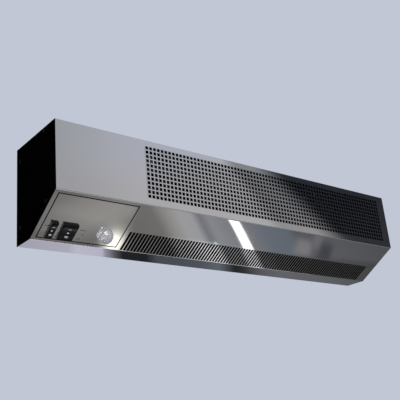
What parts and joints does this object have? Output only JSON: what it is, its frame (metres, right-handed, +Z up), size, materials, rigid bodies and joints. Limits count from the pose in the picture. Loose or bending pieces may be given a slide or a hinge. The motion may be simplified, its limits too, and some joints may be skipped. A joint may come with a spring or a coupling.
{
  "type": "air curtain",
  "caption": "Wall-mounted air curtain: polished folded steel casing with perforated front inlet, slotted sloping underside, rocker switches, sensor dome and long tangential fan.",
  "frame": {"origin": "centre of the wall bracket's four fixing holes, on the wall plane, half way along the casing", "axes": "+X along the casing from the control end to the far end, +Y into the wall, +Z up; the front faces -Y"},
  "size_m": [1.0232, 0.17, 0.234],
  "materials": {
    "polished_steel": "mirror-polished stainless steel sheet",
    "zinc_steel": "zinc-plated steel sheet",
    "black_cap": "black painted steel end plate",
    "black_plastic": "black moulded plastic",
    "tray_plastic": "black moulded tray",
    "duct_paint": "black painted steel sheet",
    "rubber": "soft black rubber",
    "brass": "plain brass",
    "clear_dome": "clear moulded dome",
    "sensor_white": "white moulded sensor face",
    "impeller_metal": "dark anodised aluminium",
    "motor_grey": "grey painted motor shell",
    "heater_sheath": "heat-tinted steel sheath",
    "ceramic": "cream ceramic",
    "aluminium_can": "drawn aluminium can"
  },
  "bodies": {
    "casing": {"top_panel": "polished_steel", "back_plate": "zinc_steel", "front_grille": "polished_steel", "outlet_panel": "polished_steel", "left_end_cap": "black_cap", "right_end_cap": "black_cap", "cap_screws": "black_plastic", "wall_bracket": "zinc_steel", "left_bulkhead": "zinc_steel", "right_bulkhead": "zinc_steel", "bulkhead_rivets": "zinc_steel", "control_plate": "polished_steel", "plate_nuts": "zinc_steel", "control_box": "tray_plastic", "fan_switch_body": "black_plastic", "heat_switch_body": "black_plastic", "switch_terminals": "brass", "sensor_dome": "clear_dome", "sensor_body": "sensor_white", "sensor_nut": "black_plastic", "motor_body": "motor_grey", "motor_mounts": "rubber", "motor_screws": "zinc_steel", "tail_bearing": "brass", "bearing_housing": "rubber", "rear_guide": "duct_paint", "vortex_tongue": "duct_paint", "heater_elements": "heater_sheath", "heater_bushes": "ceramic", "heater_supports": "duct_paint", "thermal_cutout": "black_plastic", "capacitor": "aluminium_can", "terminal_block": "ceramic", "contactor": "black_plastic", "cable_gland": "black_plastic", "gland_nut": "black_plastic"},
    "fan_rotor": {"drive_shaft": "zinc_steel", "drive_hub": "rubber", "impeller": "impeller_metal", "tail_shaft": "zinc_steel"},
    "fan_rocker": {"fan_rocker": "black_plastic"},
    "heat_rocker": {"heat_rocker": "black_plastic"}
  },
  "joints": [
    {"name": "fan_spin", "type": "hinge", "parent": "casing", "child": "fan_rotor", "pos_m": [0, -0.092, -0.03318], "axis": [1, 0, 0], "continuous": true},
    {"name": "fan_switch_tilt", "type": "hinge", "parent": "casing", "child": "fan_rocker", "pos_m": [-0.476, -0.0861, -0.13621], "axis": [1, 0, 0], "range_deg": [-12, 12]},
    {"name": "heat_switch_tilt", "type": "hinge", "parent": "casing", "child": "heat_rocker", "pos_m": [-0.4405, -0.0861, -0.13621], "axis": [1, 0, 0], "range_deg": [-12, 12]}
  ]
}
